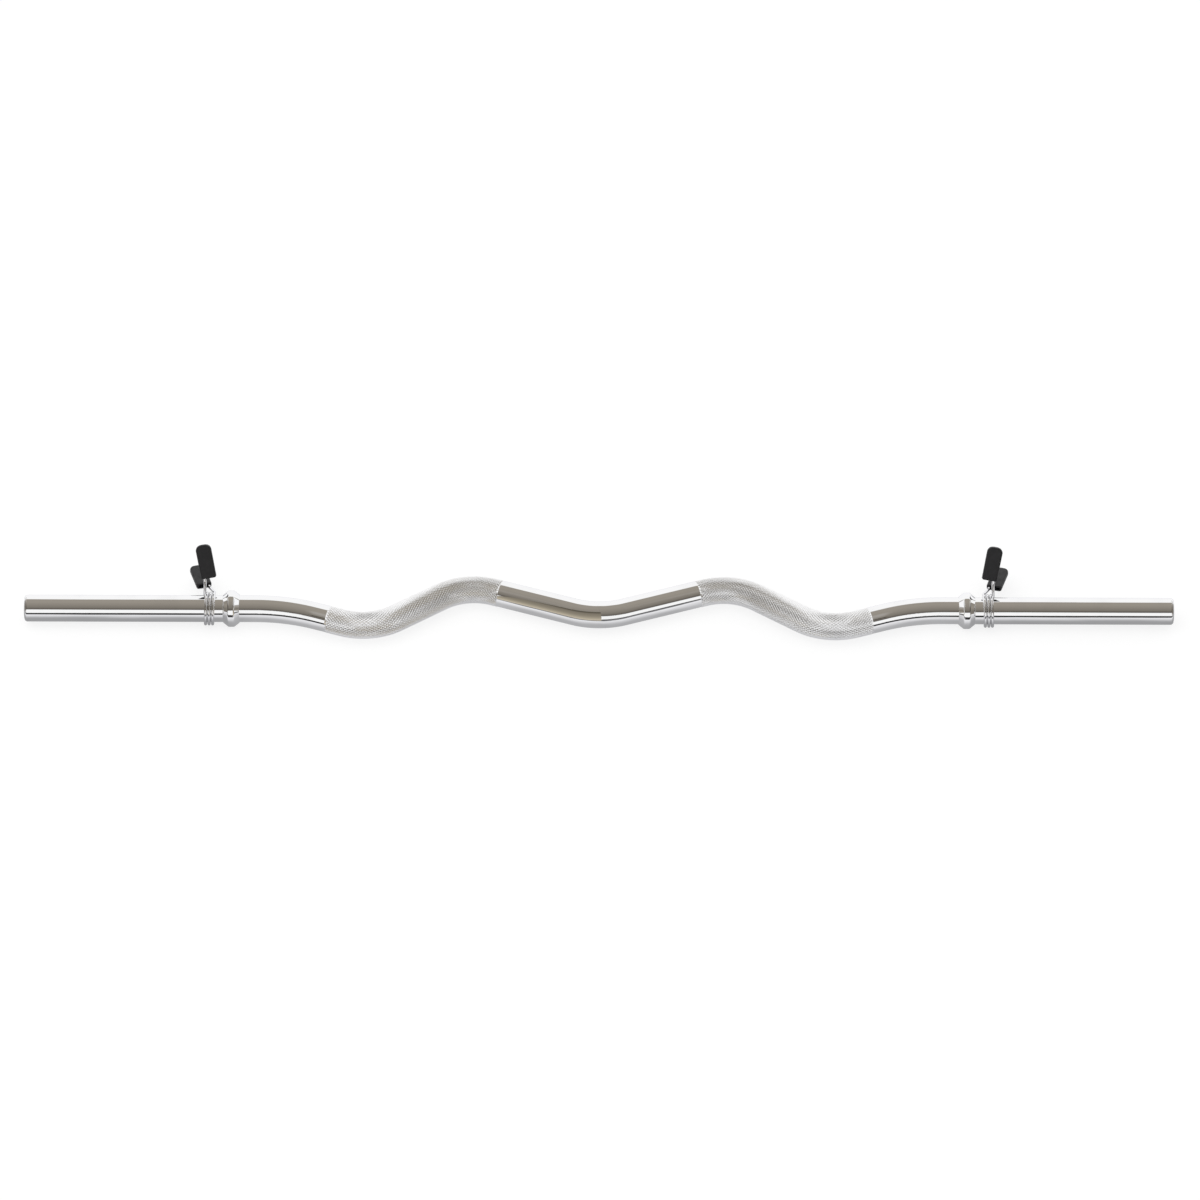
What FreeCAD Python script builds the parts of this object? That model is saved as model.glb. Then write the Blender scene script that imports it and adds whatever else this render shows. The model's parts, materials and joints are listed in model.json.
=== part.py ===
import FreeCAD, Part
import math
import os

from FreeCAD import Vector

# Bar, one bent round of steel that is as thick at its sleeves as at its grips. Its sleeves are
# solids of their own, which start at the inner collars
BAR_LENGTH = 1200.0
BAR_RADIUS = 14.0
END_ROUND = 3.0

# Bends: how far from the middle the straight runs would meet, and their slopes to the sleeves
FIRST_BEND_X = 326.0
LOW_BEND_X = 237.0
HIGH_BEND_X = 140.0
OUTER_ANGLE = 19.0
GRIP_ANGLE = 34.5
CENTRE_ANGLE = 19.0
FIRST_BEND_RADIUS = 195.0
GRIP_BEND_RADIUS = 62.0
CENTRE_BEND_RADIUS = 80.0

# Inner collars, each pressed on a seat that is a little thicker than the sleeve
COLLAR_X = 384.0
COLLAR_WIDTH = 17.0
COLLAR_LAND = 6.0
COLLAR_RIM = 0.6
COLLAR_HEIGHT = 4.9
COLLAR_EDGE_ROUND = 3.0
COLLAR_RIM_ROUND = 0.3
SEAT_SWELL = 0.1
SEAT_LEAD = 22.0

# Spring wire and its coil round the sleeve
WIRE_RADIUS = 1.6
COIL_CLEARANCE = 0.3
TURN_GAP = 0.5
COIL_TO_COLLAR = 7.9
WHOLE_TURNS = 3

# Legs of the spring: a run off the coil, turned back from straight up, with a heel where it starts
# to lean towards the bar's tip, then a bend, a way into the grip and a loop inside it
FRONT_LEG_ANGLE = 13.0
REAR_LEG_ANGLE = 117.0
FRONT_LEG_LEAN = -3.0
REAR_LEG_LEAN = 20.0
LEG_HEEL = 6.0
HEEL_RADIUS = 10.0
LEG_RUN = 16.5
LEG_BEND = 17.0
LEG_BEND_RADIUS = 8.0
LEG_TO_GRIP = 4.0
LOOP_RADIUS = 4.8
LOOP_REACH = 28.0
LOOP_TAIL = 7.0

# Grips, flat tongues pushed over the loops
GRIP_LENGTH = 36.0
GRIP_ROOT_WIDTH = 16.0
GRIP_TIP_WIDTH = 16.4
GRIP_THICKNESS = 6.4
GRIP_TIP_ROUND = 6.0
GRIP_ROOT_ROUND = 1.8
GRIP_EDGE_ROUND = 1.5
FRONT_GRIP_LEAN = 10.0
REAR_GRIP_LEAN = 16.0
POCKET_CLEARANCE = 0.1

# Place of the sleeve axis: in front of the middle of the footprint, with the collars on the floor
AXIS_Y = -13.0

# Points closer than this are one point
SAME_POINT = 1e-6

# What follows from the sizes above
SEAT_RADIUS = BAR_RADIUS + SEAT_SWELL
COLLAR_RADIUS = SEAT_RADIUS + COLLAR_HEIGHT
COLLAR_INNER_X = COLLAR_X - COLLAR_WIDTH / 2
COLLAR_OUTER_X = COLLAR_X + COLLAR_WIDTH / 2
AXIS_Z = COLLAR_RADIUS
COIL_RADIUS = SEAT_RADIUS + COIL_CLEARANCE + WIRE_RADIUS
TURN_PITCH = 2 * WIRE_RADIUS + TURN_GAP
COIL_INNER_X = COLLAR_OUTER_X + COIL_TO_COLLAR + WIRE_RADIUS
COIL_SLOPE = math.atan(TURN_PITCH / (2 * math.pi * COIL_RADIUS))
GRIP_HALF = GRIP_THICKNESS / 2
FRONT_START = FRONT_LEG_ANGLE + 90
REAR_START = REAR_LEG_ANGLE - 90 + 360 * WHOLE_TURNS
COIL_OUTER_X = COIL_INNER_X + TURN_PITCH * (REAR_START - FRONT_START) / 360


def slope(degrees):
    return math.tan(math.radians(degrees))


def on_axis(x, y, z):
    """A point given from the sleeve axis."""
    return Vector(x, AXIS_Y + y, AXIS_Z + z)


def round_corner(before, corner, after, radius):
    """The start, middle and end of the arc that rounds a corner."""
    back = (before - corner).normalize()
    ahead = (after - corner).normalize()
    half_turn = (math.pi - back.getAngle(ahead)) / 2
    reach = radius * math.tan(half_turn)
    inward = (back + ahead).normalize()
    middle = corner + inward * (radius / math.cos(half_turn) - radius)
    return corner + back * reach, middle, corner + ahead * reach


def add_line(edges, start, end):
    if start.distanceToPoint(end) > SAME_POINT:
        edges.append(Part.LineSegment(start, end).toShape())


def rounded_path(points, radii):
    """Straight runs from point to point, joined by tangent arcs."""
    edges = []
    here = points[0]
    for before, corner, after, radius in zip(points, points[1:], points[2:], radii):
        start, middle, end = round_corner(before, corner, after, radius)
        add_line(edges, here, start)
        edges.append(Part.Arc(start, middle, end).toShape())
        here = end
    add_line(edges, here, points[-1])
    return Part.Wire(edges)


def rounded_outline(points, radii):
    """A closed outline with each corner rounded."""
    edges = []
    count = len(points)
    arcs = [
        round_corner(points[i - 1], points[i], points[(i + 1) % count], radii[i])
        for i in range(count)
    ]
    for i in range(count):
        start, middle, end = arcs[i]
        add_line(edges, arcs[i - 1][2], start)
        edges.append(Part.Arc(start, middle, end).toShape())
    return Part.Face(Part.Wire(edges))


def tube_along(path, start, direction, radius):
    """A round bar or wire swept along a path."""
    section = Part.Wire(Part.Circle(start, direction, radius).toShape())
    swept = path.makePipeShell([section], True, False)
    expected = math.pi * radius ** 2 * path.Length
    print("swept volume to section times length: %.5f" % (swept.Volume / expected))
    return swept


def bent_shank():
    """The bent part of the bar, from one collar to the other."""
    low_y = -(FIRST_BEND_X - LOW_BEND_X) * slope(OUTER_ANGLE)
    high_y = low_y + (LOW_BEND_X - HIGH_BEND_X) * slope(GRIP_ANGLE)
    centre_y = high_y - HIGH_BEND_X * slope(CENTRE_ANGLE)
    right = [
        (HIGH_BEND_X, high_y, GRIP_BEND_RADIUS),
        (LOW_BEND_X, low_y, GRIP_BEND_RADIUS),
        (FIRST_BEND_X, 0, FIRST_BEND_RADIUS),
    ]
    left = [(-x, y, radius) for x, y, radius in reversed(right)]
    bends = left + [(0, centre_y, CENTRE_BEND_RADIUS)] + right
    first = on_axis(-COLLAR_INNER_X, 0, 0)
    last = on_axis(COLLAR_INNER_X, 0, 0)
    corners = [on_axis(x, y, 0) for x, y, radius in bends]
    path = rounded_path([first] + corners + [last], [radius for x, y, radius in bends])
    return tube_along(path, first, Vector(1, 0, 0), BAR_RADIUS)


def right_sleeve():
    """The right end of the bar: collar seat, lead from the seat, sleeve and rounded tip."""
    tip_x = BAR_LENGTH / 2
    round_x = tip_x - END_ROUND
    lead_x = COLLAR_OUTER_X + SEAT_LEAD
    flat_radius = BAR_RADIUS - END_ROUND
    diagonal = END_ROUND * math.sqrt(0.5)
    tip = Part.Arc(
        on_axis(round_x, 0, BAR_RADIUS),
        on_axis(round_x + diagonal, 0, flat_radius + diagonal),
        on_axis(tip_x, 0, flat_radius),
    )
    outline = [
        on_axis(tip_x, 0, flat_radius),
        on_axis(tip_x, 0, 0),
        on_axis(COLLAR_INNER_X, 0, 0),
        on_axis(COLLAR_INNER_X, 0, SEAT_RADIUS),
        on_axis(COLLAR_OUTER_X, 0, SEAT_RADIUS),
        on_axis(lead_x, 0, BAR_RADIUS),
        on_axis(round_x, 0, BAR_RADIUS),
    ]
    edges = [Part.LineSegment(a, b).toShape() for a, b in zip(outline, outline[1:])]
    profile = Part.Face(Part.Wire(edges + [tip.toShape()]))
    return profile.revolve(on_axis(0, 0, 0), Vector(1, 0, 0), 360)


def right_collar():
    """A ring with a cylindrical land, and on each side a bevel and a low rim, its edges eased."""
    half_land = COLLAR_LAND / 2
    rim_radius = SEAT_RADIUS + COLLAR_RIM
    outline = [
        on_axis(COLLAR_INNER_X, 0, SEAT_RADIUS),
        on_axis(COLLAR_INNER_X, 0, rim_radius),
        on_axis(COLLAR_X - half_land, 0, COLLAR_RADIUS),
        on_axis(COLLAR_X + half_land, 0, COLLAR_RADIUS),
        on_axis(COLLAR_OUTER_X, 0, rim_radius),
        on_axis(COLLAR_OUTER_X, 0, SEAT_RADIUS),
    ]
    rounds = [COLLAR_RIM_ROUND, COLLAR_EDGE_ROUND, COLLAR_EDGE_ROUND, COLLAR_RIM_ROUND]
    bevels = rounded_path(outline, rounds)
    bore = Part.LineSegment(outline[-1], outline[0]).toShape()
    profile = Part.Face(Part.Wire(bevels.Edges + [bore]))
    return profile.revolve(on_axis(0, 0, 0), Vector(1, 0, 0), 360)


def across(angle):
    """The direction square to the sleeve, turned back from straight up."""
    turned = math.radians(angle)
    return Vector(0, math.sin(turned), math.cos(turned))


def coil_point(angle):
    """A point of the coil's centre line, and the way the wire runs there."""
    x = COIL_OUTER_X - TURN_PITCH * (angle - FRONT_START) / 360
    rise = across(angle) * COIL_RADIUS
    onward = across(angle + 90) * math.cos(COIL_SLOPE)
    return on_axis(x, rise.y, rise.z), onward + Vector(-math.sin(COIL_SLOPE), 0, 0)


def tangent_arc(start, corner, end):
    """The arc between two points whose tangents meet at a corner."""
    half_chord = start.distanceToPoint(end) / 2
    weight = half_chord / start.distanceToPoint(corner)
    middle = (start + corner * (2 * weight) + end) * (1 / (2 + 2 * weight))
    return Part.Arc(start, middle, end).toShape()


def biarc(start, out, end, into):
    """Two arcs, tangent to each other, from one point and direction to another."""
    span = end - start
    ways = out + into
    a = ways.dot(ways) - 4
    b = span.dot(ways)
    reach = (b - math.sqrt(b * b - a * span.dot(span))) / a
    first = start + out * reach
    second = end - into * reach
    joint = (first + second) * 0.5
    return [tangent_arc(start, first, joint), tangent_arc(joint, second, end)]


def coil_path():
    """The coil in quarter turns, with a straight stub of one wire's thickness at each end."""
    quarters = round((REAR_START - FRONT_START) / 90)
    step = (REAR_START - FRONT_START) / quarters
    stations = [coil_point(FRONT_START + step * i) for i in range(quarters + 1)]
    stub = 2 * WIRE_RADIUS
    first, out = stations[0]
    last, onward = stations[-1]
    edges = []
    add_line(edges, first - out * stub, first)
    for (start, leaving), (end, arriving) in zip(stations, stations[1:]):
        edges += biarc(start, leaving, end, arriving)
    add_line(edges, last, last + onward * stub)
    return Part.Wire(edges), first - out * stub, out


def least_gap(path):
    """The least gap between turns of the coil, measured on points of its centre line."""
    spacing = 1.0
    points = path.discretize(Distance=spacing)
    half_turn = int(math.pi * COIL_RADIUS / spacing)
    nearest = min(
        points[i].distanceToPoint(points[j])
        for i in range(len(points))
        for j in range(i + half_turn, len(points))
    )
    return nearest - 2 * WIRE_RADIUS


def right_coil():
    path, start, direction = coil_path()
    print("least gap between the turns of the coil: %.3f mm" % least_gap(path))
    return tube_along(path, start, direction, WIRE_RADIUS)


def leg_start(is_front):
    """Where a leg leaves the coil, and which way."""
    start, onward = coil_point(FRONT_START if is_front else REAR_START)
    return start, onward * -1 if is_front else onward


def leg_knee(is_front):
    """The end of a leg's leaning run, where it bends towards the other leg."""
    start, away = leg_start(is_front)
    upright = across(FRONT_LEG_ANGLE if is_front else REAR_LEG_ANGLE)
    lean = slope(FRONT_LEG_LEAN if is_front else REAR_LEG_LEAN)
    return start + away * LEG_HEEL + (upright + Vector(lean, 0, 0)) * LEG_RUN


def grip_frame(is_front):
    """The middle of a grip's root, and the directions along the grip and across its width."""
    if is_front:
        upright, degrees, inward = across(FRONT_LEG_ANGLE + LEG_BEND), FRONT_GRIP_LEAN, -1
    else:
        upright, degrees, inward = across(REAR_LEG_ANGLE - LEG_BEND), REAR_GRIP_LEAN, 1
    lean = math.radians(degrees)
    along = upright * math.cos(lean) + Vector(math.sin(lean), 0, 0)
    width = Vector(math.cos(lean), 0, 0) - upright * math.sin(lean)
    root = leg_knee(is_front) + along * LEG_TO_GRIP + width * (inward * LOOP_RADIUS)
    return root, along, width


def right_leg(is_front):
    """One leg of the spring, bent into its grip and looped back inside it."""
    start, away = leg_start(is_front)
    root, along, width = grip_frame(is_front)
    entry = (-1 if is_front else 1) * LOOP_RADIUS
    begin = start + away * (2 * WIRE_RADIUS)
    loop_near = root + along * LOOP_REACH - width * entry
    loop_far = root + along * LOOP_REACH + width * entry
    tail = root + along * LOOP_TAIL + width * entry
    heel = start + away * LEG_HEEL
    points = [begin, heel, leg_knee(is_front), loop_near, loop_far, tail]
    path = rounded_path(points, [HEEL_RADIUS, LEG_BEND_RADIUS, LOOP_RADIUS, LOOP_RADIUS])
    return tube_along(path, begin, away, WIRE_RADIUS)


def grip_blank():
    """The tongue, standing on its root with its width along X."""
    root = GRIP_ROOT_WIDTH / 2
    tip = GRIP_TIP_WIDTH / 2
    corners = [
        Vector(-root, -GRIP_HALF, 0),
        Vector(root, -GRIP_HALF, 0),
        Vector(tip, -GRIP_HALF, GRIP_LENGTH),
        Vector(-tip, -GRIP_HALF, GRIP_LENGTH),
    ]
    radii = [GRIP_ROOT_ROUND, GRIP_ROOT_ROUND, GRIP_TIP_ROUND, GRIP_TIP_ROUND]
    tongue = rounded_outline(corners, radii).extrude(Vector(0, GRIP_THICKNESS, 0))
    rims = [edge for edge in tongue.Edges if edge.BoundBox.YLength < SAME_POINT]
    return tongue.makeFillet(GRIP_EDGE_ROUND, rims)


def grip_pocket():
    """The hollow that takes the loop of wire, open at the grip's root."""
    half_width = LOOP_RADIUS + WIRE_RADIUS + POCKET_CLEARANCE
    half_depth = WIRE_RADIUS + POCKET_CLEARANCE
    crown = LOOP_REACH - LOOP_RADIUS
    mouth = -GRIP_EDGE_ROUND
    corners = [
        Vector(-half_width, -half_depth, crown),
        Vector(-half_width, -half_depth, mouth),
        Vector(half_width, -half_depth, mouth),
        Vector(half_width, -half_depth, crown),
    ]
    edges = [Part.LineSegment(a, b).toShape() for a, b in zip(corners, corners[1:])]
    top = Vector(0, -half_depth, crown + half_width)
    edges.append(Part.Arc(corners[-1], top, corners[0]).toShape())
    return Part.Face(Part.Wire(edges)).extrude(Vector(0, 2 * half_depth, 0))


def right_grip(is_front):
    """A grip, placed on its leg."""
    root, along, width = grip_frame(is_front)
    depth = along.cross(width)
    grip = grip_blank().cut(grip_pocket())
    place = FreeCAD.Matrix(
        width.x, depth.x, along.x, root.x,
        width.y, depth.y, along.y, root.y,
        width.z, depth.z, along.z, root.z,
        0, 0, 0, 1,
    )
    return grip.transformed(place)


def mirrored(shape):
    """The same piece at the left end of the bar."""
    return shape.mirror(Vector(0, 0, 0), Vector(1, 0, 0))


right_pieces = {
    "sleeve": right_sleeve(),
    "inner_collar": right_collar(),
    "spring_coil": right_coil(),
    "front_spring_leg": right_leg(True),
    "rear_spring_leg": right_leg(False),
    "front_grip": right_grip(True),
    "rear_grip": right_grip(False),
}
nodes = {"bent_bar": bent_shank()}
for name, piece in right_pieces.items():
    nodes["right_" + name] = piece
    nodes["left_" + name] = mirrored(piece)

os.makedirs("parts", exist_ok=True)
for name, shape in nodes.items():
    shape.exportStep("parts/" + name + ".step")
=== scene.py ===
import bisect
import json
import math

import bmesh
import bpy
from bpy.props import FloatProperty, FloatVectorProperty, IntProperty, PointerProperty
from mathutils import Matrix, Quaternion, Vector


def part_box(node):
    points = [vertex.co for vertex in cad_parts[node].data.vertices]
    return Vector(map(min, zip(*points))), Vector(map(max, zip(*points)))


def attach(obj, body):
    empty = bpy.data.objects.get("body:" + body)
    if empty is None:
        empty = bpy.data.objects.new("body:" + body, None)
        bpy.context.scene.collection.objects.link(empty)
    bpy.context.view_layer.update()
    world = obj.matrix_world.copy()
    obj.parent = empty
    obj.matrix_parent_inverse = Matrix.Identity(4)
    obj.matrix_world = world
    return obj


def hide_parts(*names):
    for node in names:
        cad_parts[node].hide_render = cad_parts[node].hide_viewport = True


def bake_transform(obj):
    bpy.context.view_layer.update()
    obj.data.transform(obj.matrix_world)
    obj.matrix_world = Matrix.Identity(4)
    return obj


bl_info = {
    "name": "Curl Bar",
    "version": (1, 0, 0),
    "blender": (4, 5, 0),
    "location": "View3D > Sidebar > Curl Bar",
    "description": "Dresses a bent curl bar with knurled grips, collars and spring clips",
    "category": "Object",
}

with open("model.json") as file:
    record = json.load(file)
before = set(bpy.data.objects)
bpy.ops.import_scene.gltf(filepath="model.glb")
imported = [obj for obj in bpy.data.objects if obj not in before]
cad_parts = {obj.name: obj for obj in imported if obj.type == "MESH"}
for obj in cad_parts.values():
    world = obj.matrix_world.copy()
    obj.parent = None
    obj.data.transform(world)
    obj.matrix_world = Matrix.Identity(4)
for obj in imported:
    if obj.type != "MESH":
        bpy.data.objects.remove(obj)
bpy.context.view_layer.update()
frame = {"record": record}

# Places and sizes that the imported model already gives
SLEEVE = next(m for m in frame["record"]["mounts"] if m["name"] == "right_sleeve")
AXIS = Vector((0, SLEEVE["pos_m"][1], SLEEVE["pos_m"][2]))
ROD_RADIUS = SLEEVE["dims"]["r_mm"] / 1000
HALF_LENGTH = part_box("right_sleeve")[1].x
COLLAR_LOW, COLLAR_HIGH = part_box("right_inner_collar")
SIDES = {"left": -1, "right": 1}

# Steps of the arcs and of the coil, and the gap between two sections where the rod changes
ARC_STEP = math.radians(1.5)
COIL_STEP = math.radians(6)
STATION_GAP = 0.0003

# How far the diamonds and the collars reach into the rod, so that no gap shows
KNURL_SINK = 0.00003
COLLAR_SINK = 0.0002

# Radius at the outer edge of a collar's end faces
COLLAR_FACE_ROUND = 0.0003

# A grip's crown and root edge, and the pocket in it that the wire's loop fits
GRIP_CROWN = 0.0002
GRIP_ROOT_EDGE = 0.001
POCKET_CLEARANCE = 0.0001
POCKET_CHAMFER = 0.0003
POCKET_EDGE = 0.0006
POCKET_END_DEPTH = 0.0017
POCKET_END_TAPER = 0.001

# Shares of a grip's half section: its largest edge radius and half its parting line
EDGE_SHARE = 0.9
PARTING_SHARE = 0.1

BLACK = (0, 0, 0, 1)
WHITE = (1, 1, 1, 1)
WHITE_TINT = WHITE[:3]

# The floor as the plating mirrors it: its tone by y, once the bar's bends are taken out, with the
# bar's shadow painted in near the bar and the floor dark far in front, and by the distance from the
# bar's middle the share of that painted shadow that is taken away again, as painted light
FLOOR_PAINTED_SHADOW_TONES = [
    (-0.5, 0.03), (-0.15, 0.03), (-0.13, 0.9), (-0.087, 0.8), (-0.062, 0.66), (-0.049, 0.48),
    (-0.04, 0.38), (-0.027, 0.35), (0.0, 0.45), (0.04, 0.68), (0.07, 1.0), (0.1, 1.0),
]
FLOOR_PAINTED_LIGHT_SHARES = [
    (0.0, 0.14), (0.085, 0.14), (0.11, 0.25), (0.14, 0.25), (0.165, 0.1), (0.2, 0.1), (0.225, 0.35),
    (0.27, 0.35), (0.295, 0.15), (0.36, 0.15), (0.4, 0.0),
]

# The room as the plating mirrors it, by the angle up from the front in degrees: white, or a share of
# the room's colour
ROOM_TONES = [
    (-180, WHITE_TINT), (-7, WHITE_TINT), (-6, 0.12), (3, 0.12), (4.5, WHITE_TINT), (31, WHITE_TINT),
    (34, 0.3), (40, 0.42), (52, 0.65), (75, 0.85), (100, 1.0), (126, 1.0), (129, WHITE_TINT),
    (180, WHITE_TINT),
]

# Boards that only reflections show: their tones by height, their outlines and the planes of these
WARM_TONES = [
    (0, 1.0), (0.065, 0.78), (0.11, 0.62), (0.17, 0.5), (0.23, 0.43), (0.42, 0.34), (0.5, 0.19),
    (0.74, 0.17),
]
MIDDLE_TONES = [(0, 0.45)]
DARK_TONES = [(0, 0.12), (1.1, 0.2)]
END_TONES = [(0, 0.69), (0.1, 0.6), (0.2, 0.96), (0.3, 0.6), (0.45, 1.0)]
END_GREYS = [(0.6, (0.5, 0.49, 0.48)), (0.7, (0.68, 0.68, 0.68)), (0.78, (0.8, 0.8, 0.8))]
WARM_CORNERS = [(-0.31, 0), (0.015, 0), (0.015, 0.74), (-0.31, 0.74)]
MIDDLE_CORNERS = [(-0.4, 0.13), (-0.09, 0.13), (-0.02, 0.19), (0.1, 0.25), (0.3, 0.5), (-0.4, 0.5)]
DARK_CORNERS = [(-0.9, 0), (0.2, 0.72), (0.2, 1.1), (-0.9, 1.1)]
CARD_CORNERS = [(0.2, -0.14), (0.278, -0.14), (0.278, 0.1), (0.2, 0.1)]
END_CORNERS = [(-0.45, 0), (0.28, 0), (0.28, 0.27), (1.2, 0.4), (1.2, 0.78), (-0.45, 0.78)]
WARM_Y = -0.3
DARK_X = 1.0
END_X = 1.01
CARD_Z = 0.1


def length(name, description, default):
    return FloatProperty(
        name=name, description=description, default=default, unit="LENGTH", precision=5
    )


def angle(name, description, degrees):
    return FloatProperty(
        name=name, description=description, default=math.radians(degrees), subtype="ANGLE"
    )


def share(name, description, default):
    return FloatProperty(
        name=name, description=description, default=default, min=0, max=1, subtype="FACTOR"
    )


def colour(name, description, default):
    return FloatVectorProperty(
        name=name, description=description, default=default, size=3, min=0, max=1, subtype="COLOR"
    )


class CurlBarRodSizes(bpy.types.PropertyGroup):
    """Sizes of the bent rod, its knurling and its collars."""

    radius: length("Rod radius", "Half the thickness of the rod", ROD_RADIUS)
    half_length: length("Half length", "From the middle of the bar to its tip", HALF_LENGTH)
    tip_round: length("Tip round", "Radius of the rounded edge at each tip", 0.003)
    first_bend_x: length("First bend", "From the middle to where the sleeve bends", 0.326)
    low_bend_x: length("Front bend", "From the middle to the bend nearest the user", 0.237)
    high_bend_x: length("Rear bend", "From the middle to the bend away from the user", 0.140)
    outer_angle: angle("Outer slope", "Slope of the run beside the sleeve", 19)
    grip_angle: angle("Grip slope", "Slope of the main grip", 34.5)
    centre_angle: angle("Centre slope", "Slope of the runs at the middle", 19)
    first_bend_radius: length("First bend radius", "Radius of the first bend", 0.195)
    grip_bend_radius: length("Grip bend radius", "Radius at both ends of the grip", 0.062)
    centre_bend_radius: length("Centre bend radius", "Radius of the middle bend", 0.080)
    knurl_inner_x: length("Knurling inner end", "From the middle to the knurling", 0.103)
    knurl_outer_x: length("Knurling outer end", "From the middle to the knurling's end", 0.282)
    knurl_pitch: length("Knurl pitch", "Width of one diamond, round the rod", 0.0028)
    knurl_angle: angle("Knurl angle", "Slope of the grooves to the rod", 36)
    knurl_depth: length("Knurl depth", "From the grooves to the tops of the diamonds", 0.0005)
    knurl_rise: length("Knurl rise", "How far the diamonds stand above the rod", 0.0002)
    knurl_flat: share("Knurl flat", "Share of a diamond that its flat top takes", 0.38)
    collar_inner_x: length("Collar inner face", "From the middle to the collar", COLLAR_LOW.x)
    collar_outer_x: length("Collar outer face", "From the middle to its far face", COLLAR_HIGH.x)
    collar_radius: length("Collar radius", "Radius of the collar's land", COLLAR_HIGH.z - AXIS.z)
    collar_land: length("Collar land", "Width of the collar's land", 0.006)
    collar_rim: length("Collar rim", "Height of the rim at the collar's face", 0.0006)
    collar_round: length("Collar round", "Radius at the edges of the land", 0.003)


class CurlBarClipSizes(bpy.types.PropertyGroup):
    """Sizes of the spring clips."""

    wire_radius: length("Wire radius", "Half the thickness of the spring wire", 0.0016)
    coil_radius: length("Coil radius", "Radius of the coil's centre line", 0.0160)
    turn_pitch: length("Turn pitch", "From one turn of the coil to the next", 0.0037)
    coil_inner_x: length("Coil inner end", "From the middle to the first turn", 0.402)
    whole_turns: IntProperty(name="Turns", description="Turns begun by the coil", default=3)
    front_angle: angle("Front leg", "Front leg, turned back from straight up", 13)
    rear_angle: angle("Rear leg", "Rear leg, turned back from straight up", 117)
    front_lean: angle("Front leg lean", "Lean of the front leg towards the bar's tip", -3)
    rear_lean: angle("Rear leg lean", "Lean of the rear leg towards the bar's tip", 20)
    leg_heel: length("Leg heel", "From the coil to where a leg starts to lean", 0.006)
    heel_radius: length("Heel radius", "Radius of the bend at the heel", 0.010)
    leg_run: length("Leg run", "Leaning run of a leg", 0.0165)
    leg_bend: angle("Leg bend", "Bend of a leg towards the other one", 17)
    leg_bend_radius: length("Leg bend radius", "Radius of that bend", 0.008)
    leg_to_grip: length("Leg to grip", "From the bend to the grip's root", 0.004)
    loop_radius: length("Loop radius", "Radius of the loop inside a grip", 0.0048)
    loop_reach: length("Loop reach", "From the grip's root to the end of the loop", 0.028)
    loop_tail: length("Loop tail", "From the grip's root to the wire's end", 0.007)
    grip_length: length("Grip length", "Length of a grip", 0.036)
    grip_root_width: length("Grip root width", "Width of a grip at its root", 0.016)
    grip_tip_width: length("Grip tip width", "Width of a grip at its tip", 0.0164)
    grip_thickness: length("Grip thickness", "Thickness of a grip", 0.0064)
    grip_tip_round: length("Grip tip round", "Radius of the corners at the tip", 0.006)
    grip_root_round: length("Grip root round", "Radius of the corners at the root", 0.0018)
    grip_edge: length("Grip edge", "Radius of the rounded edges", 0.0017)
    front_grip_lean: angle("Front grip lean", "Lean of the front grip towards the bar's tip", 10)
    rear_grip_lean: angle("Rear grip lean", "Lean of the rear grip towards the bar's tip", 16)
    parting_ridge: length("Parting line", "Height of the moulding's parting line", 0.00012)


class CurlBarFinishes(bpy.types.PropertyGroup):
    """Colours of the bar and of the room that it mirrors."""

    chrome: colour("Chrome", "Polished plating of the bar and collars", (0.93, 0.93, 0.935))
    knurl: colour("Knurl chrome", "Satin plating of the knurled grips", (0.98, 0.98, 0.985))
    # The knurl's groove colour is painted shade, which darkens the bottom of its grooves
    groove_shade: colour("Knurl grooves", "Plating at the bottom of the grooves", (0.72, 0.715, 0.71))
    wire: colour("Spring wire", "Plating of the spring wire", (0.86, 0.86, 0.87))
    plastic: colour("Grip plastic", "Moulded plastic of the grips", (0.010, 0.0095, 0.011))
    floor: colour("Floor", "Part of the floor's white that shadows can dim", (0.3, 0.3, 0.3))
    floor_glow: share("Floor glow", "Part of the floor's white that stays in shadow", 0.76)
    floor_near: colour("Mirrored floor", "Floor as the plating shows it", (0.98, 0.98, 1.0))
    room: colour("Room", "Dim warm room over the bar", (0.328, 0.298, 0.256))
    board: colour("Board", "Warm board in front of the centre bend", (0.60, 0.53, 0.41))


class CurlBarView(bpy.types.PropertyGroup):
    """Place and framing of the camera."""

    elevation: angle("Elevation", "Height of the view above the floor", 45)
    distance: length("Distance", "From the camera to the bar", 7.0)
    width: length("Frame width", "Width of the frame at the bar", 1.2538)
    roll: angle("Roll", "Turn of the camera about its own line of sight", 0.17)
    drop: length("Drop", "How far the sleeves lie below the middle of the frame", 0.0102)
    offset: length("Offset", "How far the bar lies left of the middle of the frame", 0.001)


def new_socket(tree, name, direction, kind):
    return tree.interface.new_socket(name, in_out=direction, socket_type="NodeSocket" + kind)


def new_tree(name, kind, inputs, outputs):
    """A node group, with its input and output nodes."""
    tree = bpy.data.node_groups.new(name, kind)
    for label, socket_kind in inputs:
        new_socket(tree, label, "INPUT", socket_kind)
    for label, socket_kind in outputs:
        new_socket(tree, label, "OUTPUT", socket_kind)
    return tree, tree.nodes.new("NodeGroupInput").outputs, tree.nodes.new("NodeGroupOutput").inputs


def add_node(tree, kind, inputs=None, **settings):
    """A node with its settings, and its inputs linked or set by name or by place."""
    node = tree.nodes.new(kind)
    for name, value in settings.items():
        setattr(node, name, value)
    for key, value in (inputs or {}).items():
        if isinstance(value, bpy.types.NodeSocket):
            tree.links.new(value, node.inputs[key])
        else:
            node.inputs[key].default_value = value
    return node


def math_node(tree, operation, *values):
    kind = "ShaderNodeMath"
    return add_node(tree, kind, dict(enumerate(values)), operation=operation).outputs[0]


def vector_math(tree, operation, *values):
    kind = "ShaderNodeVectorMath"
    return add_node(tree, kind, dict(enumerate(values)), operation=operation).outputs[0]


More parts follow.
